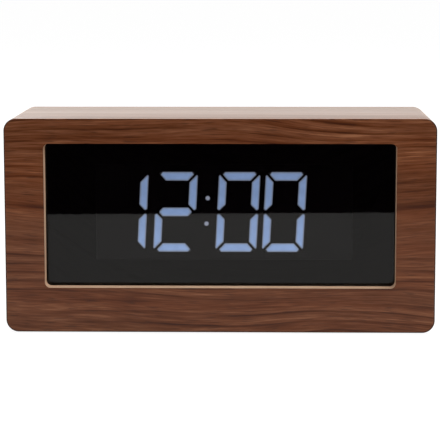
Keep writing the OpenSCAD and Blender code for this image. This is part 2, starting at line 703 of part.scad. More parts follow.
module inlet_pin() color([0.8, 0.8, 0.82]) translate([inlet_x, y_inlet_floor, button_z]) rotate([-90, 0, 0])
  rotate_extrude() {
    pin = y_inlet_out - y_inlet_floor - 0.6;
    polygon([[0, 0], [inlet_pin_d / 2, 0], [inlet_pin_d / 2, pin - 0.4], [inlet_pin_d / 2 - 0.4, pin], [0, pin]]);
  }

module sounder() color([0.08, 0.08, 0.08]) difference() {
  rod(sounder_x, sounder_z, sounder_d, y_cover_in - sounder_t, y_cover_in);
  rod(sounder_x, sounder_z, sounder_d - 3, y_cover_in - 1, y_cover_in + 1);
}

// Battery compartment's door, cells and contacts

// The door closes flush with the cover; its hinge end is round about the pins' axis
module battery_door() color([0.07, 0.07, 0.07]) difference() {
  union() {
    box([battery_x - door_w / 2, y_cover_out - door_t, battery_z - door_h / 2],
      [hinge_x, y_cover_out, battery_z + door_h / 2]);
    translate([hinge_x, y_hinge, battery_z]) cylinder(d = door_t, h = door_h, center = true);
    translate([hinge_x, y_hinge, battery_z])
      cylinder(d = hinge_d, h = rebate_h + 2 * hinge_reach - 0.4, center = true);
  }
  // slots that free the latch tongue, and its grip grooves
  for (s = [-1, 1]) box([battery_x - door_w / 2 - 1, y_cover_out - door_t - 1, battery_z + s * 6 - 0.5],
    [battery_x - door_w / 2 + 9, y_cover_out + 1, battery_z + s * 6 + 0.5]);
  for (i = [0:3]) box([battery_x - door_w / 2 + 2 + i * 1.7, y_cover_out - 0.5, battery_z - 4.5],
    [battery_x - door_w / 2 + 2.8 + i * 1.7, y_cover_out + 1, battery_z + 4.5]);
}

// Cells lie along X: the upper one points right, the lower one left
module cell(s) translate([battery_x, y_cell, battery_z + s * cell_dz]) rotate([0, s * 90, 0]) {
  shift = spring_l / 2;
  translate([0, 0, -cell_l / 2 + shift]) cylinder(d = cell_d, h = cell_l - 0.8);
  translate([0, 0, cell_l / 2 + shift - 0.8 - eps]) cylinder(d = 3.8, h = 0.8 + eps);
}
module battery_cells() color([0.75, 0.6, 0.2]) for (s = [-1, 1]) cell(s);

// Two plates with tabs through the floor at one end, one plate across both cells at the other
module battery_contacts() color([0.8, 0.8, 0.78]) {
  for (s = [-1, 1]) {
    box([bay_end, y_cell - contact_w / 2, battery_z + s * cell_dz - contact_h / 2],
      [bay_end + contact_t, y_cell + contact_w / 2, battery_z + s * cell_dz + contact_h / 2]);
    box([bay_end, y_bay - bay_wall - tab_out, battery_z + s * cell_dz - tab_w / 2],
      [bay_end + contact_t, y_cell, battery_z + s * cell_dz + tab_w / 2]);
  }
  box([battery_x + bay_w / 2 - contact_t, y_cell - contact_w / 2, battery_z - cell_dz - contact_h / 2],
    [battery_x + bay_w / 2, y_cell + contact_w / 2, battery_z + cell_dz + contact_h / 2]);
}

// A lead: forwards from (y_a, z_a), up at y_run, then back to (y_b, z_b), with round bends
module lead(x, y_a, z_a, y_b, z_b, y_run) {
  rod(x, z_a, lead_d, y_run + lead_r, y_a);
  rod(x, z_b, lead_d, y_run + lead_r, y_b);
  translate([x, y_run, z_a + lead_r]) cylinder(d = lead_d, h = z_b - z_a - 2 * lead_r);
  translate([x, y_run + lead_r, z_a + lead_r]) rotate([0, 90, 0]) rotate([0, 0, -90])
    rotate_extrude(angle = 90) translate([lead_r, 0]) circle(d = lead_d);
  translate([x, y_run + lead_r, z_b - lead_r]) rotate([0, -90, 0]) rotate([0, 0, -90])
    rotate_extrude(angle = 90) translate([lead_r, 0]) circle(d = lead_d);
}

module battery_leads() color([0.6, 0.1, 0.1]) for (i = [0, 1])
  lead(bay_end + contact_t / 2, y_bay - bay_wall - tab_out, battery_z + (1 - 2 * i) * cell_dz, y_key_front,
    button_z - key_h / 2 + lead_pad[i], y_bay - bay_wall - tab_out - lead_bow[i]);

module sounder_leads() color([0.1, 0.1, 0.1]) for (s = [-1, 1])
  lead(sounder_x + s * sounder_lead_x, y_cover_in - sounder_t, sounder_z + sounder_d / 4, y_key_front,
    button_z - key_h / 2 + lead_pad[0], y_key_front - sounder_bow);

// A coil spring between a contact plate and the flat end of its cell, swept with six sides
wire_d = 0.7;
coil_r = 3.5;
coil_narrowing = 1.1;
coil_rest = 0.05;
coil_turns = 3;
coil_steps = 14;
function coil_centre(t) = let (r = coil_r - coil_narrowing * t, a = 360 * coil_turns * t)
  [r * cos(a), r * sin(a), wire_d / 2 + coil_rest + (spring_l - wire_d - 2 * coil_rest) * t];
function coil_ring(t) = let (c = coil_centre(t), a = 360 * coil_turns * t)
  [for (k = [0:5]) c + [cos(a) * cos(60 * k), sin(a) * cos(60 * k), sin(60 * k)] * wire_d / 2];
module coil() {
  n = coil_turns * coil_steps;
  points = [for (i = [0:n]) each coil_ring(i / n)];
  sides = [for (i = [0:n - 1], k = [0:5])
    each [[6 * i + k, 6 * i + (k + 1) % 6, 6 * i + 6 + k],
      [6 * i + (k + 1) % 6, 6 * i + 6 + (k + 1) % 6, 6 * i + 6 + k]]];
  polyhedron(points, concat([[5, 4, 3, 2, 1, 0]], [[for (k = [0:5]) 6 * n + k]], sides));
}
module battery_springs() color([0.8, 0.8, 0.78]) for (s = [-1, 1])
  translate([battery_x - s * (bay_w / 2 - contact_t), y_cell, battery_z + s * cell_dz]) rotate([0, s * 90, 0])
    coil();

case_wrap();
front_veneer();
front_board();
top_panel();
bottom_panel();
left_panel();
right_panel();
corner_blocks();
feet();
lens_tape();
window_lens();
display_carrier();
carrier_screws();
display_film();
lit_bars();
dark_bars();
digit_block();
light_chips();
display_board();
display_screws();
clock_chip();
crystal_can();
capacitors();
display_socket();
flat_cable();
key_socket();
key_board();
key_screws();
switch_bodies();
inlet_body();
inlet_pin();
sounder();
rear_cover();
rear_screws();
button(0);  // button_1
button(1);  // button_2
button(2);  // button_3
button(3);  // button_4
button(4);  // button_5
plunger(0);  // plunger_1
plunger(1);  // plunger_2
plunger(2);  // plunger_3
plunger(3);  // plunger_4
plunger(4);  // plunger_5
battery_door();
battery_cells();
battery_contacts();
battery_springs();
battery_leads();
sounder_leads();
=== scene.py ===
import math

import bmesh
import bpy
from mathutils import Matrix, Vector


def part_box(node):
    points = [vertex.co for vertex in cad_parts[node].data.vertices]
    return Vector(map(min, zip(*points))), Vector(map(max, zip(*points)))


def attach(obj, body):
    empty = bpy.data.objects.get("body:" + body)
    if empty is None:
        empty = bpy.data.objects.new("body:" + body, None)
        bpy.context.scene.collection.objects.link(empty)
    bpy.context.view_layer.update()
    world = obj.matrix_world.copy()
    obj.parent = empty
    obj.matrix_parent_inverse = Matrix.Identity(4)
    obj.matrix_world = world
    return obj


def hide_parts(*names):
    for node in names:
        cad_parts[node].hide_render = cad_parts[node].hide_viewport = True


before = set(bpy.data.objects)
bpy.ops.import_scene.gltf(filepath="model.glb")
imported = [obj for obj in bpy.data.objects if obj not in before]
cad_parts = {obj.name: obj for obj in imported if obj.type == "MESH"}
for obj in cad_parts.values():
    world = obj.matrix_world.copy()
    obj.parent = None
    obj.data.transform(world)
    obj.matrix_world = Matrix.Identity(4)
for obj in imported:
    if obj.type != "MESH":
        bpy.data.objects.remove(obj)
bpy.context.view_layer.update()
scene = bpy.context.scene
scene.view_settings.view_transform = "Standard"


# Camera
# It looks at the front of the clock from a metre away, a little from above and from the right, through a
# long lens, at the angle of the photograph.
photo_size = 440
focal_pixels = 1900.9
sensor = 36.0
camera_place = (0.0273, -1.0921, 0.2052)
camera_yaw, camera_pitch, camera_roll = (math.radians(a) for a in (1.488, -7.649, 0.077))
camera_data = bpy.data.cameras.new("camera")
camera_data.sensor_width = sensor
camera_data.lens = focal_pixels / photo_size * sensor
camera_data.clip_end = 100.0
camera = bpy.data.objects.new("camera", camera_data)
scene.collection.objects.link(camera)
camera.matrix_world = (Matrix.Translation(camera_place) @ Matrix.Rotation(camera_yaw, 4, "Z")
                       @ Matrix.Rotation(camera_pitch, 4, "X") @ Matrix.Rotation(camera_roll, 4, "Y")
                       @ Matrix.Rotation(math.pi / 2, 4, "X"))
scene.camera = camera


# Case boards
# Four mitred boards and the front board with the window cut through it, of medium-density fibreboard.
# They are glued along the mitres; the sawn edge stays bare round the window and at the rear.
def paint(red, green, blue):
    """A colour by its values on screen, 0 to 255."""
    low = [v / 255 for v in (red, green, blue)]
    return tuple(v / 12.92 if v <= 0.04045 else ((v + 0.055) / 1.055) ** 2.4 for v in low) + (1.0,)


def set_even(finish, **sockets):
    """Sets values that are the same all over, an underscore standing for a space."""
    shader = finish.node_tree.nodes["Principled BSDF"]
    for socket, value in sockets.items():
        shader.inputs[socket.replace("_", " ")].default_value = value


def start_finish(name, **sockets):
    """A finish with its even values set on the shader."""
    finish = bpy.data.materials.new(name)
    finish.use_nodes = True
    set_even(finish, **sockets)
    return finish


def add_node(finish, kind, inputs=(), **settings):
    """Adds a node; an input is given a value, or the output that feeds it."""
    made = finish.node_tree.nodes.new("ShaderNode" + kind)
    for setting, value in settings.items():
        setattr(made, setting, value)
    for place, value in dict(inputs).items():
        if isinstance(value, bpy.types.NodeSocket):
            finish.node_tree.links.new(value, made.inputs[place])
        else:
            made.inputs[place].default_value = value
    return made


def feed(finish, **sockets):
    """Links outputs to the shader, an underscore standing for a space."""
    shader = finish.node_tree.nodes["Principled BSDF"]
    for socket, output in sockets.items():
        finish.node_tree.links.new(output, shader.inputs[socket.replace("_", " ")])


def fibres(finish, per_metre, detail=2.0, source=None, start=0.0):
    """Noise that changes so many times in a metre, given for each axis or for all alike."""
    source = source or add_node(finish, "TexCoord").outputs["Object"]
    scale = per_metre if isinstance(per_metre, list) else [per_metre] * 3
    laid = add_node(finish, "Mapping", {"Vector": source, "Scale": scale, "Location": [start] * 3})
    noise = add_node(finish, "TexNoise", {"Vector": laid.outputs[0], "Scale": 1.0, "Detail": detail})
    return noise.outputs[0]


def tones(finish, source, *stops):
    """Colours along a ramp, each stop a place from 0 to 1 and a colour."""
    ramp = add_node(finish, "ValToRGB", {"Fac": source})
    elements = ramp.color_ramp.elements
    while len(elements) < len(stops):
        elements.new(0.5)
    for element, (place, colour) in zip(elements, stops):
        element.position = place
        element.color = colour
    return ramp.outputs["Color"]


def levels(finish, source, low, high, to_low, to_high):
    """Maps a value from one range to another, held at both ends."""
    return add_node(finish, "MapRange", {"Value": source, "From Min": low, "From Max": high,
                                         "To Min": to_low, "To Max": to_high}).outputs[0]


def reckon(finish, operation, *values):
    """Works a sum out of values and outputs."""
    return add_node(finish, "Math", dict(enumerate(values)), operation=operation).outputs[0]


def roughen(finish, height, depth):
    """Gives the surface a relief of that depth in metres."""
    bump = add_node(finish, "Bump", {"Height": height, "Distance": depth, "Strength": 1.0})
    feed(finish, Normal=bump.outputs[0])


def give(finish, *nodes):
    """Puts a finish on carried-over nodes."""
    for node in nodes:
        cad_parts[node].material_slots[0].material = finish


patch_share = 0.3
fibreboard = start_finish("bare_fibreboard", Roughness=0.8, Specular_IOR_Level=0.3)
fibre = fibres(fibreboard, 2200, 4.0)
patch = fibres(fibreboard, 70)
fleck = levels(fibreboard, reckon(fibreboard, "MULTIPLY_ADD", patch, patch_share, fibre), 0.4, 0.9, 0.0, 1.0)
feed(fibreboard, Base_Color=tones(fibreboard, fleck, (0.0, paint(176, 141, 114)),
                                  (0.5, paint(202, 167, 138)), (1.0, paint(218, 188, 160))))
roughen(fibreboard, fibre, 0.00005)
give(fibreboard, "front_board", "top_panel", "bottom_panel", "left_panel", "right_panel")


# Corner blocks
# Sawn pine blocks glued into the four rear corners; the rear cover is screwed to them.
pine = start_finish("sawn_pine", Roughness=0.7)
pine_rings = fibres(pine, [260, 14, 260], 3.0)
feed(pine, Base_Color=tones(pine, pine_rings, (0.35, paint(176, 132, 84)), (0.65, paint(221, 188, 140))))
roughen(pine, pine_rings, 0.0001)
give(pine, "corner_blocks")


# Veneer wrap
# One sheet of walnut veneer, bent round the four long edges of the case and butted underneath. Its grain
# runs round the case. Its two ends are eased. Their cut edges carry painted shade along the sides and
# underside, and a painted highlight along the top.
drift_reach = 0.022
ring_gap = 0.004
ring_wander = 0.005
ring_middle = 0.75
ring_tones = ((0.0, 0.0), (0.12, 0.38), (0.35, 0.8), (0.7, 0.9), (0.92, 0.7), (1.0, 0.0))
heart_reach = 0.03
fine_near_heart, fine_away = 0.34, 0.54
darkest_grain, palest_grain = -0.27, 0.24
red_tones = ((0.0, paint(54, 19, 2)), (0.3, paint(82, 38, 12)), (0.5, paint(96, 50, 24)),
             (0.7, paint(112, 65, 38)), (1.0, paint(152, 99, 66)))
grey_tones = ((0.0, paint(54, 22, 4)), (0.3, paint(80, 40, 16)), (0.5, paint(94, 52, 28)),
              (0.7, paint(110, 67, 43)), (1.0, paint(146, 100, 72)))
pore_brink, pore_core = 0.58, 0.68
pore_cover = 0.5
pore_brown = paint(46, 23, 12)
grain_lift = 0.35
walnut_relief = 0.00002


def mix_colours(finish, mask, under, over):
    """Goes from one colour to the other as the mask goes from 0 to 1."""
    return add_node(finish, "Mix", {0: mask, 6: under, 7: over}, data_type="RGBA").outputs[2]


def walnut(name, coordinates, across, heart):
    """Lacquered walnut, with the grain along the first axis and crossed on axis 1 or 2. The growth rings are
    widest at the heart, a place across the grain."""
    finish = start_finish(name, Specular_IOR_Level=0.06, Coat_Weight=1.0, Coat_Roughness=0.22, Coat_IOR=1.26,
                          Sheen_Weight=0.5, Sheen_Roughness=0.3, Sheen_Tint=paint(238, 200, 162))
    source = add_node(finish, "TexCoord").outputs[coordinates]

    def strands(along, crosswise, detail, start, place):
        """Noise by its changes in a metre along the grain and across it."""
        per_metre = [along, 1.0, 1.0]
        per_metre[across] = crosswise
        return fibres(finish, per_metre, detail, place, start)

    drift = levels(finish, strands(5.5, 10.0, 1.0, 0.0, source), 0.0, 1.0, -drift_reach, drift_reach)
    sideways = add_node(finish, "CombineXYZ", {across: drift}).outputs[0]
    grain = add_node(finish, "VectorMath", {0: source, 1: sideways}, operation="ADD").outputs[0]

    wander = levels(finish, strands(7.0, 45.0, 2.0, 3.0, grain), 0.0, 1.0, -ring_wander, ring_wander)
    crossing = add_node(finish, "SeparateXYZ", {0: grain}).outputs[across]
    from_heart = reckon(finish, "SUBTRACT", reckon(finish, "ADD", crossing, wander), heart)
    squared = reckon(finish, "MULTIPLY_ADD", from_heart, from_heart, heart_reach ** 2)
    away = reckon(finish, "SQRT", squared)
    ring = reckon(finish, "FRACT", reckon(finish, "DIVIDE", away, ring_gap))
    growth = tones(finish, ring, *((place, (grey, grey, grey, 1.0)) for place, grey in ring_tones))
    fade = levels(finish, strands(12.0, 90.0, 1.0, 5.0, grain), 0.38, 0.62, 0.03, 0.32)
    tone = reckon(finish, "MULTIPLY", reckon(finish, "SUBTRACT", growth, ring_middle), fade)
    fine_share = levels(finish, away, 1.1 * heart_reach, 1.8 * heart_reach, fine_near_heart, fine_away)
    for share, along, crosswise, detail, start in ((0.28, 3.0, 85.0, 1.0, 0.0), (0.26, 18.0, 420.0, 2.0, 4.0),
                                                   (fine_share, 50.0, 1200.0, 3.0, 9.0)):
        swing = reckon(finish, "SUBTRACT", strands(along, crosswise, detail, start, grain), 0.5)
        tone = reckon(finish, "MULTIPLY_ADD", swing, share, tone)
    depth = levels(finish, tone, darkest_grain, palest_grain, 0.0, 1.0)
    hue = levels(finish, strands(5.0, 90.0, 1.0, 7.0, grain), 0.35, 0.65, 0.0, 1.0)
    wood = mix_colours(finish, hue, tones(finish, depth, *red_tones), tones(finish, depth, *grey_tones))

    pore = levels(finish, strands(90.0, 1900.0, 1.0, 6.0, grain), pore_brink, pore_core, 0.0, 1.0)
    pored = mix_colours(finish, levels(finish, pore, 0.0, 1.0, 0.0, pore_cover), wood, pore_brown)
    feed(finish, Base_Color=pored, Roughness=levels(finish, depth, 0.2, 0.8, 0.5, 0.36))
    between_pores = levels(finish, pore, 0.0, 1.0, 1.0, 0.0)
    roughen(finish, reckon(finish, "MULTIPLY_ADD", depth, grain_lift, between_pores), walnut_relief)
    return finish


def overlay(finish, mask, colour):
    """Lays another colour over a finish where the mask is 1."""
    under = finish.node_tree.nodes["Principled BSDF"].inputs["Base Color"].links[0].from_socket
    feed(finish, Base_Color=mix_colours(finish, mask, under, colour))


def round_off(shape, edges, reach, steps, clamp=False):
    """Rounds edges as far as the reach on both sides."""
    bmesh.ops.bevel(shape, geom=edges, offset=reach, offset_type="OFFSET", segments=steps, profile=0.5,
                    affect="EDGES", material=-1, clamp_overlap=clamp)


def make_object(name, shape, finish):
    """Turns a shape into an object with a finish."""
    mesh = bpy.data.meshes.new(name)
    shape.to_mesh(mesh)
    shape.free()
    mesh.materials.append(finish)
    made = bpy.data.objects.new(name, mesh)
    scene.collection.objects.link(made)
    return made


def finish_piece(name, shape, finish, body, slot, *nodes):
    """Makes the piece's object, which rides on a body and stands for the nodes."""
    piece = make_object(name, shape, finish)
    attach(piece, body)
    if nodes:
        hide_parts(*nodes)


wrap_low, wrap_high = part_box("case_wrap")
wrap_mid = (wrap_low + wrap_high) / 2
wrap_size = wrap_high - wrap_low
corner_r = 0.007
corner_steps = 14
veneer_t = 0.0006
arris = 0.00035
arris_steps = 3
turn_slack = 0.01
flat_x = wrap_size.x / 2 - corner_r
flat_z = wrap_size.z / 2 - corner_r

wrap = bmesh.new()
bmesh.ops.create_cube(wrap, size=1.0)
bmesh.ops.scale(wrap, vec=wrap_size, verts=wrap.verts)
bmesh.ops.translate(wrap, vec=wrap_mid, verts=wrap.verts)
bmesh.ops.delete(wrap, geom=[f for f in wrap.faces if abs(f.normal.y) > 0.5], context="FACES_ONLY")
long_edges = [e for e in wrap.edges if abs(e.verts[0].co.y - e.verts[1].co.y) > 0.01]
round_off(wrap, long_edges, corner_r, corner_steps)
outer_faces = list(wrap.faces)
bmesh.ops.recalc_face_normals(wrap, faces=outer_faces)
bmesh.ops.solidify(wrap, geom=outer_faces, thickness=veneer_t)


def on_outside(vert):
    """Whether a vertex of the wrap lies on its outside."""
    reach_x = abs(vert.co.x - wrap_mid.x) - flat_x
    reach_z = abs(vert.co.z - wrap_mid.z) - flat_z
    if reach_x > 0 and reach_z > 0:
        return math.hypot(reach_x, reach_z) > corner_r - veneer_t / 2
    return max(reach_x, reach_z) > corner_r - veneer_t / 2


rim = [e for e in wrap.edges if all(on_outside(v) for v in e.verts)
       and abs(e.verts[0].co.y - e.verts[1].co.y) < 1e-6]
round_off(wrap, rim, arris, arris_steps)


def way_round(x, z):
    """Distance round the case to a point of the wrap, from the middle of the underside up the right side."""
    side = max(-flat_x, min(flat_x, x - wrap_mid.x))
    rise = max(-flat_z, min(flat_z, z - wrap_mid.z))
    turn = math.atan2(x - wrap_mid.x - side, wrap_mid.z + rise - z) % (2 * math.pi)
    bend = corner_r * turn
    if turn < turn_slack:
        return bend + side
    if turn < math.pi - turn_slack:
        return bend + flat_x + flat_z + rise
    if turn < math.pi + turn_slack:
        return bend + 2 * flat_x + 2 * flat_z - side
    return bend + 3 * flat_x + 3 * flat_z - rise


wrap_round = 4 * (flat_x + flat_z) + 2 * math.pi * corner_r
wrap_map = wrap.loops.layers.uv.new("grain")
for face in wrap.faces:
    middle = face.calc_center_median()
    middle_round = way_round(middle.x, middle.z)
    for loop in face.loops:
        at = loop.vert.co
        gone = way_round(at.x, at.z)
        gone += wrap_round * round((middle_round - gone) / wrap_round)
        loop[wrap_map].uv = (gone, at.y)
    face.smooth = True

wrap_end = wrap_size.y / 2 - arris
# Painted shade on the cut ends along the sides and underside, and a painted highlight on the top arris.
end_shade_fade = 0.0002
end_shade_cover = 0.8
highlight_width = 0.001
highlight_cover = 0.75
highlight_stops, highlight_gone = 0.0001, 0.00025
wrap_walnut = walnut("walnut_wrap", "UV", 1, wrap_mid.y)
wrap_uv = add_node(wrap_walnut, "TexCoord").outputs["UV"]
wrap_place = add_node(wrap_walnut, "SeparateXYZ", {0: wrap_uv}).outputs
to_end = reckon(wrap_walnut, "ABSOLUTE", wrap_place[1])
past_top = reckon(wrap_walnut, "ABSOLUTE", reckon(wrap_walnut, "SUBTRACT", wrap_place[0], wrap_round / 2))
off_top = levels(wrap_walnut, past_top, flat_x, flat_x + corner_r, 0.0, 1.0)
on_top = levels(wrap_walnut, past_top, flat_x, flat_x + corner_r, 1.0, 0.0)
# Painted shade: the cut end of the veneer is darkened, but not along the top.
end_shade = levels(wrap_walnut, to_end, wrap_end, wrap_end + end_shade_fade, 0.0, end_shade_cover)
# Painted highlight: a pale band on the eased arris, kept off the cut end and limited to the top.
arris_highlight_band = levels(wrap_walnut, to_end, wrap_end - highlight_width, wrap_end, 0.0, highlight_cover)
not_cut = levels(wrap_walnut, to_end, wrap_end + highlight_stops, wrap_end + highlight_gone, 1.0, 0.0)
# Dark brown painted shade on the cut end, away from the top.
overlay(wrap_walnut, reckon(wrap_walnut, "MULTIPLY", end_shade, off_top), paint(30, 14, 7))
arris_highlight = reckon(wrap_walnut, "MULTIPLY", arris_highlight_band, not_cut)
# Pale painted highlight on the top arris.
overlay(wrap_walnut, reckon(wrap_walnut, "MULTIPLY", arris_highlight, on_top), paint(220, 188, 164))
finish_piece("veneer_wrap", wrap, wrap_walnut, "case", "walnut_veneer", "case_wrap")


# Front veneer
# A single sheet of the same walnut on the front board, with the grain level across both stiles and rails,
# trimmed flush with the window cut.
give(walnut("walnut_front", "Object", 2, wrap_mid.z), "front_veneer")


# Feet
# Four self-adhesive pads of soft black rubber under the case, moulded with a round rim and a dished sole.
sharp_edge = math.radians(40)
crease = math.radians(35)
face_on = 0.999


def turned(shape, outline, centre, axis, steps=48):
    """Turns an outline, given by radius and distance along the axis, about an axis through the centre."""
    axis = Vector(axis)
    outward = Vector((axis.y, axis.z, axis.x))
    verts = [shape.verts.new(Vector(centre) + outward * radius + axis * along) for radius, along in outline]
    edges = [shape.edges.new(pair) for pair in zip(verts, verts[1:])]
    bmesh.ops.spin(shape, geom=verts + edges, cent=centre, axis=axis, angle=2 * math.pi, steps=steps,
                   use_merge=True)


def ease_edges(shape, edges, ease, steps=3):
    """Rounds those of the edges that are sharp."""
    sharp = [e for e in edges if e.is_manifold and e.calc_face_angle() > sharp_edge]
    round_off(shape, sharp, ease, steps, True)


def shade(shape, flat_faced=False):
    """Smooth faces, with creases where edges are still sharp; a flat piece keeps its front and rear flat."""
    for face in shape.faces:
        face.smooth = not (flat_faced and abs(face.normal.y) > face_on)
    for edge in shape.edges:
        edge.smooth = edge.is_manifold and edge.calc_face_angle() < crease


def close_up(shape, ease, steps=3):
    """Joins the poles and seams, turns the faces outwards and rounds the sharp edges."""
    bmesh.ops.remove_doubles(shape, verts=shape.verts, dist=0.0000001)
    bmesh.ops.recalc_face_normals(shape, faces=shape.faces)
    ease_edges(shape, list(shape.edges), ease, steps)
    shade(shape)


foot_low, foot_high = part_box("feet")
foot_r = 0.006
foot_h = foot_high.z - foot_low.z
foot_ease = 0.00018
sole_r = 0.62 * foot_r
dish_r = 0.5 * foot_r
dish_h = 0.00025
foot_outline = ((0.0, foot_h), (foot_r, foot_h), (foot_r, 0.0), (sole_r, 0.0), (dish_r, dish_h),
                (0.0, dish_h))
pads = bmesh.new()
for pad_x in (foot_low.x + foot_r, foot_high.x - foot_r):
    for pad_y in (foot_low.y + foot_r, foot_high.y - foot_r):
        turned(pads, foot_outline, (pad_x, pad_y, foot_low.z), (0, 0, 1))
close_up(pads, foot_ease)
rubber = start_finish("foot_rubber", Specular_IOR_Level=0.35)
bloom = fibres(rubber, 300, 3.0)
feed(rubber, Base_Color=tones(rubber, bloom, (0.3, paint(22, 22, 22)), (0.7, paint(40, 39, 38))),
     Roughness=levels(rubber, bloom, 0.3, 0.7, 0.75, 0.9))
roughen(rubber, fibres(rubber, 2500), 0.00003)
finish_piece("rubber_feet", pads, rubber, "case", "rubber", "feet")


# Window
# A smoked acrylic sheet behind the front board, held to it by a frame of black foam tape.
foam = start_finish("foam_tape", Roughness=0.95)
foam_cells = fibres(foam, 2600)
feed(foam, Base_Color=tones(foam, foam_cells, (0.3, paint(10, 10, 10)), (0.7, paint(24, 24, 24))))
roughen(foam, foam_cells, 0.0001)
give(foam, "lens_tape")

smoked = start_finish("smoked_acrylic", Base_Color=(0.17, 0.17, 0.18, 1.0), Transmission_Weight=1.0, IOR=1.3,
                      Specular_Tint=(1.0, 0.97, 0.94, 1.0))
haze = fibres(smoked, 22, 3.0)
feed(smoked, Roughness=levels(smoked, haze, 0.3, 0.7, 0.012, 0.028))
give(smoked, "window_lens")


# Display carrier and mask film
# The carrier is a moulded black frame screwed to the front board; the matt black film on the digit block has
# an opening for each bar, so that only lit bars show through the window.
flow_marks = 38.0
spark_share = 0.4


def moulded(name, low, high, texture=1800.0, depth=0.00003, gloss=(0.42, 0.56)):
    """Moulded plastic between two colours, with the fine texture of its mould."""
    finish = start_finish(name)
    spark = fibres(finish, texture)
    flow = fibres(finish, flow_marks)
    mixed = levels(finish, reckon(finish, "MULTIPLY_ADD", spark, spark_share, flow), 0.5, 0.9, 0.0, 1.0)
    feed(finish, Base_Color=tones(finish, mixed, (0.0, low), (1.0, high)),
         Roughness=levels(finish, flow, 0.3, 0.7, *gloss))
    roughen(finish, spark, depth)
    return finish


carrier_black = moulded("carrier_plastic", paint(7, 7, 7), paint(12, 12, 12))
film_black = moulded("mask_film", paint(6, 5, 5), paint(9, 8, 8), 900.0, 0.00001, (0.6, 0.75))
set_even(film_black, Specular_IOR_Level=0.1)
give(carrier_black, "display_carrier")
give(film_black, "display_film")


# Lit bars and dots
# Blunt-tipped bars of clear blue-white resin with crowned faces, cast into the digit block. A chip lights
# each from behind, bluest along the middle and greyer at the rim; the lower bars are a little brighter.
bar_depth_least = 0.001
tip_cut = 0.001
tip_narrowest, tip_widest = 0.00115, 0.0013
bar_round = 0.00045
bar_round_steps = 4
bar_corner = math.radians(30)


def merged_copy(node):
    """A node's mesh with its triangles joined into whole faces."""
    shape = bmesh.new()
    shape.from_mesh(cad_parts[node].data)
    bmesh.ops.remove_doubles(shape, verts=shape.verts, dist=0.000001)
    bmesh.ops.dissolve_limit(shape, angle_limit=math.radians(0.5), verts=shape.verts, edges=shape.edges)
    return shape


def runs_back(edge):
    """Whether an edge of a bar runs from its front to its back."""
    return abs(edge.verts[0].co.y - edge.verts[1].co.y) > bar_depth_least


bars = merged_copy("lit_bars")
bars.normal_update()
tip_slides = []
for tip in [f for f in bars.faces if abs(f.normal.y) < 0.1 and abs(f.normal.z) > 0.3]:
    corners = [e for e in tip.edges if runs_back(e)]
    if tip_narrowest < (corners[0].verts[0].co - corners[1].verts[0].co).xz.length < tip_widest:
        for corner in corners:
            side = [f for f in corner.link_faces if f is not tip][0]
            away = side.calc_center_median() - corner.verts[0].co
            away.y = 0
            tip_slides.append((corner.verts[:], away.normalized() * tip_cut))
for verts, slide in tip_slides:
    bmesh.ops.translate(bars, vec=slide, verts=verts)

for corner in [e for e in bars.edges if runs_back(e) and e.calc_face_angle() > bar_corner]:
    round_off(bars, [corner], bar_round * math.tan(corner.calc_face_angle() / 2), bar_round_steps)

glow_layer = bars.verts.layers.float.new("glow")
side_glow, rim_glow, shoulder_glow, middle_glow = 0.0, 0.2, 0.4, 0.6
dot_rim_glow, dot_glow = 0.9, 1.0
dot_most_area = 0.00001
rim_width, shoulder_width, middle_width = 0.00003, 0.0004, 0.0008
rim_rise, crown_rise = 0.00001, 0.00006
tip_most = 0.0008


def front_faces(shape):
    """The foremost flat faces of the bars."""
    shape.normal_update()
    return [f for f in shape.faces if f.normal.y < -face_on]


def light_up(shape, bar_level, dot_level):
    """Marks how strongly the rims of the front faces glow, on bars and on dots."""
    for face in front_faces(shape):
        for vert in face.verts:
            vert[glow_layer] = dot_level if face.calc_area() < dot_most_area else bar_level


crown_rings = ((rim_width, rim_rise, 0.0, rim_glow, dot_rim_glow),
               (shoulder_width, crown_rise, tip_most, shoulder_glow, dot_glow),
               (middle_width, crown_rise, tip_most, middle_glow, dot_glow))
for width, rise, shortest, bar_level, dot_level in crown_rings:
    bmesh.ops.inset_individual(bars, faces=front_faces(bars), thickness=width, depth=rise)
    tips = [e for f in front_faces(bars) if f.calc_area() > dot_most_area for e in f.edges
            if e.calc_length() < shortest]
    bmesh.ops.collapse(bars, edges=tips)
    light_up(bars, bar_level, dot_level)

low_end, high_end = 0.044, 0.08
low_light, high_light = 4.4, 3.2
resin = start_finish("glowing_resin", Base_Color=paint(200, 212, 230), Roughness=0.3)
glow = add_node(resin, "Attribute", attribute_name="glow").outputs["Fac"]
height = add_node(resin, "SeparateXYZ", {0: add_node(resin, "TexCoord").outputs["Object"]}).outputs[2]
bar_light = tones(resin, glow, (side_glow, paint(0, 0, 0)), (rim_glow, paint(88, 92, 98)),
                  (shoulder_glow, paint(142, 156, 178)), (middle_glow, paint(152, 180, 223)),
                  (dot_rim_glow, paint(120, 122, 130)), (dot_glow, paint(166, 172, 188)))
fall = levels(resin, height, low_end, high_end, low_light, high_light)
mottle = levels(resin, fibres(resin, 260), 0.3, 0.7, 0.93, 1.07)
feed(resin, Emission_Color=bar_light, Emission_Strength=reckon(resin, "MULTIPLY", fall, mottle))
finish_piece("glowing_bars", bars, resin, "case", "lit_resin", "lit_bars")


# Dark bars
# The bars that are off at this time: the same castings with no light behind them, smoke-grey.
unlit_resin = moulded("dark_resin", paint(6, 6, 6), paint(10, 9, 9), 700.0, 0.00001, (0.55, 0.65))
set_even(unlit_resin, Specular_IOR_Level=0.1)
give(unlit_resin, "dark_bars")


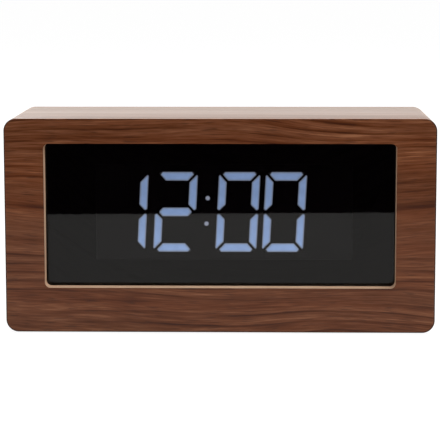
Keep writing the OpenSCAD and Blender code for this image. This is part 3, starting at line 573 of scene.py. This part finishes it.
# Digit block and light chips
# A white moulding with a tapered light well behind each bar, its outside blackened, closed by the display
# board with its chips.
block_low, block_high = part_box("digit_block")
block_mid = (block_low + block_high) / 2
block_skin = 0.0003
block_white = moulded("block_white", paint(214, 214, 208), paint(232, 232, 226))
block_place = add_node(block_white, "VectorMath", {0: add_node(block_white, "TexCoord").outputs["Object"],
                                                   1: block_mid}, operation="SUBTRACT").outputs[0]
block_axes = add_node(block_white, "SeparateXYZ", {0: block_place}).outputs
block_sides = []
for axis in (0, 2):
    reach = reckon(block_white, "ABSOLUTE", block_axes[axis])
    half = (block_high[axis] - block_low[axis]) / 2
    block_sides.append(levels(block_white, reach, half - 2 * block_skin, half - block_skin, 0.0, 1.0))
overlay(block_white, reckon(block_white, "MAXIMUM", *block_sides), paint(9, 9, 9))
give(block_white, "digit_block")
give(moulded("chip_phosphor", paint(226, 200, 92), paint(240, 220, 130), 4000.0, 0.00001), "light_chips")


# Display board and key board
# Fibreglass boards with green resist, and the parts soldered to them: clock chip, crystal, capacitors,
# sockets, switches, and the grey flat cable between the two boards.
resist = start_finish("green_resist", Coat_Weight=0.4, Coat_Roughness=0.2)
weave = add_node(resist, "TexWave", {"Vector": add_node(resist, "TexCoord").outputs["Object"], "Scale": 420.0,
                                     "Distortion": 0.4}, bands_direction="X").outputs["Fac"]
feed(resist, Base_Color=tones(resist, weave, (0.3, paint(18, 74, 42)), (0.8, paint(28, 96, 56))))
roughen(resist, weave, 0.00001)
give(resist, "display_board", "key_board")
give(moulded("chip_case", paint(22, 22, 23), paint(34, 34, 35), 3000.0), "clock_chip")
give(moulded("capacitor_sleeve", paint(24, 28, 44), paint(34, 40, 62), 1200.0, 0.00001), "capacitors")
give(moulded("socket_nylon", paint(226, 220, 198), paint(240, 235, 216)), "display_socket", "key_socket")
give(moulded("switch_case", paint(28, 28, 30), paint(40, 40, 42)), "switch_bodies")
give(moulded("cable_grey", paint(118, 118, 122), paint(138, 138, 142), 900.0, 0.00004), "flat_cable")
give(moulded("plunger_nylon", paint(212, 212, 206), paint(230, 230, 224)),
     "plunger_1", "plunger_2", "plunger_3", "plunger_4", "plunger_5")


# Screws and bright metal
# Zinc-plated screws hold the display and the boards, blackened ones the rear cover. The inlet pin and the
# contacts are bright nickel, and the crystal's can is tinned.
making_marks = 1500.0


def plated(name, low, high, gloss):
    """Plated metal between two colours, with fine marks from its making."""
    finish = start_finish(name, Metallic=1.0)
    scuffs = fibres(finish, making_marks, 3.0)
    feed(finish, Base_Color=tones(finish, scuffs, (0.3, low), (0.7, high)),
         Roughness=levels(finish, scuffs, 0.3, 0.7, *gloss))
    roughen(finish, scuffs, 0.000006)
    return finish


give(plated("zinc_plate", paint(168, 170, 172), paint(198, 200, 202), (0.28, 0.4)),
     "carrier_screws", "display_screws", "key_screws")
give(plated("black_oxide", paint(44, 44, 46), paint(66, 66, 69), (0.34, 0.46)), "rear_screws")
nickel = plated("bright_nickel", paint(196, 192, 184), paint(216, 212, 204), (0.16, 0.26))
give(nickel, "inlet_pin", "battery_contacts")
give(plated("tin_can", paint(186, 188, 190), paint(206, 208, 210), (0.2, 0.3)), "crystal_can")


# Rear cover, inlet, sounder
# One black moulding screwed to the corner blocks, with the battery compartment in it. The inlet stands in its
# hole and the sounder sits in a ring behind nineteen small holes.
cover_black = moulded("cover_plastic", paint(24, 24, 25), paint(36, 36, 37), 1500.0, 0.00006, (0.46, 0.6))
cover_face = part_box("rear_cover")[1].y
cover_brink = 0.00055
cover_ease = 0.0002
cover_shape = merged_copy("rear_cover")
outer_edges = [e for e in cover_shape.edges if all(v.co.y > cover_face - cover_brink for v in e.verts)]
ease_edges(cover_shape, outer_edges, cover_ease, 2)
shade(cover_shape, True)
finish_piece("cover_moulding", cover_shape, cover_black, "case", "black_plastic", "rear_cover")
give(moulded("inlet_plastic", paint(16, 16, 17), paint(24, 24, 25)), "inlet_body")
give(moulded("sounder_case", paint(18, 18, 18), paint(26, 26, 26)), "sounder")


# Buttons
# Five black caps with domed faces, each moulded with its flange and stem and standing on a switch plunger.
# Their rims are rounded, and the faces are a little polished by fingers.
button_black = moulded("button_plastic", paint(30, 30, 31), paint(44, 44, 45), 1600.0, 0.00003, (0.36, 0.46))
cap_r = 0.0042
cap_ease = 0.0003
cap_sides = 64
stem_r = 0.002
stem_l = 0.0014
flange_l = 0.0012
dome_r = 0.014
dome_steps = 6
button_places = []
for number in range(1, 6):
    button_low, button_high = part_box(f"button_{number}")
    button_mid = (button_low + button_high) / 2
    button_l = button_high.y - button_low.y
    lip_r = (button_high.x - button_low.x) / 2
    outline = [(0.0, 0.0), (stem_r, 0.0), (stem_r, stem_l), (lip_r, stem_l), (lip_r, stem_l + flange_l),
               (cap_r, stem_l + flange_l)]
    for step in range(dome_steps + 1):
        ring_r = cap_r * (1 - step / dome_steps)
        outline.append((ring_r, button_l - dome_r + math.sqrt(dome_r ** 2 - ring_r ** 2)))
    cap = bmesh.new()
    turned(cap, outline, (button_mid.x, button_low.y, button_mid.z), (0, 1, 0), cap_sides)
    close_up(cap, cap_ease, 4)
    finish_piece(f"button_cap_{number}", cap, button_black, f"push_{number}", "black_plastic",
                 f"button_{number}")
    button_places.append(button_mid)


# Printed marks
# Plain signs pad-printed in pale grey ink on the rear cover: one under each button for the time, the alarm,
# up, down and brightness, and the polarity under the inlet.
def stand(shape, verts, place):
    """Turns flat ink up against the rear cover at a place in X and Z."""
    bmesh.ops.rotate(shape, cent=(0, 0, 0), matrix=Matrix.Rotation(math.pi / 2, 3, "X"), verts=verts)
    bmesh.ops.translate(shape, vec=(place[0], cover_face, place[1]), verts=verts)


def lay_bar(shape, place, width, height, turn=0.0):
    """A flat bar of ink at a place in X and Z."""
    made = bmesh.ops.create_grid(shape, x_segments=1, y_segments=1, size=0.5)["verts"]
    bmesh.ops.scale(shape, vec=(width, height, 1.0), verts=made)
    bmesh.ops.rotate(shape, cent=(0, 0, 0), matrix=Matrix.Rotation(turn, 3, "Z"), verts=made)
    stand(shape, made, place)


def lay_disc(shape, place, radius, hole=0.0):
    """A flat disc or ring of ink at a place in X and Z."""
    made = bmesh.ops.create_circle(shape, cap_ends=True, radius=radius, segments=40)["verts"]
    if hole:
        middle = made[0].link_faces[0]
        bmesh.ops.inset_individual(shape, faces=[middle], thickness=radius - hole)
        made = list(dict.fromkeys(v for outer in made for f in outer.link_faces for v in f.verts))
        bmesh.ops.delete(shape, geom=[middle], context="FACES_ONLY")
    stand(shape, made, place)


ink_t = 0.00004
stroke = 0.0003
thick = 0.0006
mark_drop = 0.0132
mark_z = button_places[0].z - mark_drop
time_x, bell_x, plus_x, minus_x, sun_x = (place.x for place in button_places)
marks = bmesh.new()

dial_r = 0.0023
hand_shift = 0.0006
long_hand, short_hand = 0.0013, 0.0009
lay_disc(marks, (time_x, mark_z), dial_r, dial_r - stroke)
lay_bar(marks, (time_x, mark_z + hand_shift), stroke, long_hand)
lay_bar(marks, (time_x - hand_shift, mark_z), short_hand, stroke)

bell_r = 0.0014
bell_rise = 0.0005
bell_steps = 12
bell_side = ((0.0016, -0.0007), (0.0021, -0.0012), (0.0021, -0.0015))
clapper_r = 0.0004
clapper_drop = 0.0021
bell_outline = [(-x, z) for x, z in bell_side] + [(x, z) for x, z in reversed(bell_side)]
for step in range(bell_steps + 1):
    turn = math.pi * step / bell_steps
    bell_outline.append((bell_r * math.cos(turn), bell_rise + bell_r * math.sin(turn)))
bell = [marks.verts.new((x, z, 0.0)) for x, z in bell_outline]
marks.faces.new(bell)
stand(marks, bell, (bell_x, mark_z))
lay_disc(marks, (bell_x, mark_z - clapper_drop), clapper_r)

sign_l = 0.0034
arm_l = 0.0014
arm_shift = 0.001
for sign_x in (plus_x, minus_x):
    lay_bar(marks, (sign_x, mark_z), sign_l, thick)
for side in (-1, 1):
    lay_bar(marks, (plus_x, mark_z + side * arm_shift), thick, arm_l)

sun_r = 0.0011
ray_count = 8
ray_l = 0.0009
ray_shift = 0.0019
lay_disc(marks, (sun_x, mark_z), sun_r)
for ray in range(ray_count):
    way = ray * 2 * math.pi / ray_count
    ray_place = (sun_x + ray_shift * math.cos(way), mark_z + ray_shift * math.sin(way))
    lay_bar(marks, ray_place, ray_l, stroke, way)

pin_low, pin_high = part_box("inlet_pin")
inlet_x = (pin_low.x + pin_high.x) / 2
pole_reach = 0.0048
pole_r = 0.0015
pole_sign_l = 0.0013
pole_arm_l = 0.0005
pole_arm_shift = 0.0004
pin_r = 0.0006
lay_disc(marks, (inlet_x, mark_z), pin_r)
lay_disc(marks, (inlet_x, mark_z), pole_r, pole_r - stroke)
for side in (-1, 1):
    lay_disc(marks, (inlet_x + side * pole_reach, mark_z), pole_r, pole_r - stroke)
    lay_bar(marks, (inlet_x + side * pole_reach, mark_z), pole_sign_l, stroke)
    lay_bar(marks, (inlet_x + side * pole_reach / 2, mark_z), pole_reach - 2 * pole_r, stroke)
    lay_bar(marks, (inlet_x - pole_reach, mark_z + side * pole_arm_shift), stroke, pole_arm_l)

grown = bmesh.ops.extrude_face_region(marks, geom=list(marks.faces))["geom"]
bmesh.ops.translate(marks, vec=(0, ink_t, 0), verts=[v for v in grown if isinstance(v, bmesh.types.BMVert)])
bmesh.ops.recalc_face_normals(marks, faces=marks.faces)
pale_ink = moulded("pale_ink", paint(176, 176, 172), paint(198, 198, 194), 2600.0, 0.000004, (0.5, 0.62))
finish_piece("printed_marks", marks, pale_ink, "case", "white_plastic")


# Battery door
# Of the cover's plastic, with its edges eased; it swings on two pins moulded at its end, and a tongue
# latches it.
door_ease = 0.00018
door_shape = merged_copy("battery_door")
ease_edges(door_shape, list(door_shape.edges), door_ease, 2)
shade(door_shape, True)
finish_piece("door_moulding", door_shape, cover_black, "battery_door_body", "black_plastic", "battery_door")


# Battery cells
# Two drawn steel cells in printed plastic jackets, laid side by side and turned end for end.
cells_low, cells_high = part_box("battery_cells")
cells_mid = (cells_low + cells_high) / 2
cell_r = (cells_high.y - cells_low.y) / 2
cell_dz = (cells_high.z - cells_low.z) / 2 - cell_r
cell_l = 0.0445
cell_ease = 0.00012
nub_r = 0.0019
nub_l = 0.0008
body_l = cell_l - nub_l
jacket_t = 0.0003
jacket_lap = 0.0009
lap_r = cell_r - jacket_lap
inner_r = cell_r - jacket_t
end_t = 0.0006
jacket_outline = ((lap_r, 0.0), (cell_r, 0.0), (cell_r, body_l), (lap_r, body_l), (lap_r, body_l - jacket_t),
                  (inner_r, body_l - jacket_t), (inner_r, jacket_t), (lap_r, jacket_t), (lap_r, 0.0))
base_outline = ((0.0, jacket_t), (lap_r, jacket_t), (lap_r, end_t), (0.0, end_t))
nub_outline = ((0.0, body_l - end_t), (lap_r, body_l - end_t), (lap_r, body_l - jacket_t),
               (nub_r, body_l - jacket_t), (nub_r, cell_l), (0.0, cell_l))
jackets = bmesh.new()
cell_ends = bmesh.new()
for way, base_x in ((1, cells_high.x - cell_l), (-1, cells_low.x + cell_l)):
    base = (base_x, cells_mid.y, cells_mid.z + way * cell_dz)
    turned(jackets, jacket_outline, base, (way, 0, 0))
    turned(cell_ends, base_outline, base, (way, 0, 0))
    turned(cell_ends, nub_outline, base, (way, 0, 0))
close_up(jackets, cell_ease)
close_up(cell_ends, cell_ease)
along_layer = jackets.verts.layers.float.new("along")
for vert in jackets.verts:
    upper = vert.co.z > cells_mid.z
    vert[along_layer] = 1 - (cells_high.x - vert.co.x if upper else vert.co.x - cells_low.x) / cell_l
band_low, band_high = 0.78, 0.95
band_blur = 0.005
jacket = moulded("cell_jacket", paint(58, 78, 76), paint(68, 90, 88), 400.0, 0.00001, (0.25, 0.35))
along = add_node(jacket, "Attribute", attribute_name="along").outputs["Fac"]
past_low = levels(jacket, along, band_low, band_low + band_blur, 0.0, 1.0)
before_high = levels(jacket, along, band_high, band_high + band_blur, 1.0, 0.0)
overlay(jacket, reckon(jacket, "MULTIPLY", past_low, before_high), paint(196, 194, 184))
finish_piece("cell_jackets", jackets, jacket, "case", "cell_jacket", "battery_cells")
finish_piece("cell_ends", cell_ends, nickel, "case", "nickel")


# Contact springs
# A narrowing coil of nickel-plated wire on the flat end of each cell, seated on its contact plate.
spring_low, spring_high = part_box("battery_springs")
wire_r = 0.00035
wire_sides = 12
coil_r = 0.0035
coil_narrowing = 0.0011
coil_turns = 3
turn_steps = 40
coil_steps = turn_steps * coil_turns
coil_l = 0.0036
springs = bmesh.new()
for way, seat_x in ((1, spring_low.x + wire_r), (-1, spring_high.x - wire_r)):
    seat = Vector((seat_x, cells_mid.y, cells_mid.z + way * cell_dz))
    made_before = set(springs.verts)
    ring = bmesh.ops.create_circle(springs, segments=wire_sides, radius=wire_r)["verts"]
    ring_edges = list(dict.fromkeys(e for v in ring for e in v.link_edges))
    bmesh.ops.rotate(springs, cent=(0, 0, 0), matrix=Matrix.Rotation(math.pi / 2, 3, "X"), verts=ring)
    bmesh.ops.translate(springs, vec=seat + Vector((0, 0, coil_r)), verts=ring)
    bmesh.ops.spin(springs, geom=ring + ring_edges, cent=seat, axis=(way, 0, 0),
                   angle=2 * math.pi * coil_turns, steps=coil_steps, dvec=(way * coil_l / coil_steps, 0, 0))
    for vert in [v for v in springs.verts if v not in made_before]:
        gone = max(0.0, min(1.0, (vert.co.x - seat.x) * way / coil_l))
        inward = Vector((0, seat.y - vert.co.y, seat.z - vert.co.z)).normalized()
        vert.co += inward * coil_narrowing * gone
bmesh.ops.holes_fill(springs, edges=[e for e in springs.edges if e.is_boundary])
bmesh.ops.recalc_face_normals(springs, faces=springs.faces)
shade(springs)
finish_piece("coil_springs", springs, nickel, "case", "nickel", "battery_springs")


# Leads
# Stranded wire in coloured sleeves: two from the contact tabs to the key board and two to the sounder.
give(moulded("red_sleeve", paint(146, 26, 24), paint(176, 36, 32), 900.0, 0.00002), "battery_leads")
give(moulded("black_sleeve", paint(18, 18, 18), paint(28, 28, 28), 900.0, 0.00002), "sounder_leads")


# Stage
# A white floor that keeps a faint shadow, a soft key light from the upper right, one from above, a fill from
# the left, one more from behind, and a black card before the clock that only reflections see.
def stage_sheet(name, size, place, tip, finish, swing=0.0):
    """A flat sheet of the stage."""
    shape = bmesh.new()
    bmesh.ops.create_grid(shape, x_segments=1, y_segments=1, size=0.5)
    bmesh.ops.scale(shape, vec=(size[0], size[1], 1.0), verts=shape.verts)
    turn = Matrix.Rotation(swing, 3, "Z") @ Matrix.Rotation(tip, 3, "X")
    bmesh.ops.rotate(shape, cent=(0, 0, 0), matrix=turn, verts=shape.verts)
    bmesh.ops.translate(shape, vec=place, verts=shape.verts)
    sheet = make_object(name, shape, finish)
    return sheet


def seen_straight(owner):
    """1 for camera, mirror and glass rays, 0 for the light that falls on things."""
    rays = add_node(owner, "LightPath").outputs
    glossy_too = reckon(owner, "MAXIMUM", rays["Is Camera Ray"], rays["Is Glossy Ray"])
    return reckon(owner, "MAXIMUM", glossy_too, rays["Is Transmission Ray"])


def bare_finish(name):
    """A finish with its shader still to be chosen."""
    finish = bpy.data.materials.new(name)
    finish.use_nodes = True
    finish.node_tree.nodes.remove(finish.node_tree.nodes["Principled BSDF"])
    return finish


def put_on(finish, shader):
    """Makes a shader the surface of a finish."""
    finish.node_tree.links.new(shader, finish.node_tree.nodes["Material Output"].inputs["Surface"])


floor_size = (60.0, 60.0)
floor_glow = 0.91
floor_finish = bare_finish("white_floor")
pale = add_node(floor_finish, "BsdfDiffuse", {"Color": (0.5, 0.5, 0.5, 1.0)}).outputs[0]
shaded = add_node(floor_finish, "BsdfDiffuse", {"Color": (0.2, 0.2, 0.2, 1.0)}).outputs[0]
white = add_node(floor_finish, "Emission", {"Strength": floor_glow}).outputs[0]
shown = add_node(floor_finish, "AddShader", {0: shaded, 1: white}).outputs[0]
floor_seen = seen_straight(floor_finish)
put_on(floor_finish, add_node(floor_finish, "MixShader", {0: floor_seen, 1: pale, 2: shown}).outputs[0])
stage_sheet("floor", floor_size, (0.0, 0.0, 0.0), 0.0, floor_finish)

card_size = (6.0, 3.0)
card_place = (0.0, -0.5483, 1.5)
card_swing = math.radians(-2.96)
card_finish = bare_finish("black_card")
put_on(card_finish, add_node(card_finish, "BsdfDiffuse", {"Color": (0.05, 0.03, 0.04, 1.0)}).outputs[0])
card = stage_sheet("black_card", card_size, card_place, math.pi / 2, card_finish, card_swing)
card.visible_camera = False
card.visible_diffuse = False
card.visible_volume_scatter = False
card.visible_shadow = False

world_light = 0.4
world_shown = 1.0
world = bpy.data.worlds.new("studio")
scene.world = world
world.use_nodes = True
background = world.node_tree.nodes["Background"]
background.inputs["Color"].default_value = (1.0, 1.0, 1.0, 1.0)
world_level = levels(world, seen_straight(world), 0.0, 1.0, world_light, world_shown)
world.node_tree.links.new(world_level, background.inputs["Strength"])

clock_middle = Vector((0.0, 0.0, 0.06))
for lamp_name, lamp_place, lamp_size, lamp_power in (("key", (1.5, -1.35, 1.3), 1.0, 27.0),
                                                     ("over", (0.25, -0.1, 1.8), 1.4, 24.0),
                                                     ("fill", (-1.6, -1.3, 0.9), 1.2, 6.0),
                                                     ("back", (-0.9, 1.8, 1.5), 1.2, 20.0)):
    lamp_data = bpy.data.lights.new(lamp_name, "AREA")
    lamp_data.size = lamp_size
    lamp_data.energy = lamp_power
    lamp = bpy.data.objects.new(lamp_name, lamp_data)
    scene.collection.objects.link(lamp)
    aim = clock_middle - Vector(lamp_place)
    lamp.matrix_world = Matrix.Translation(lamp_place) @ aim.to_track_quat("-Z", "Y").to_matrix().to_4x4()
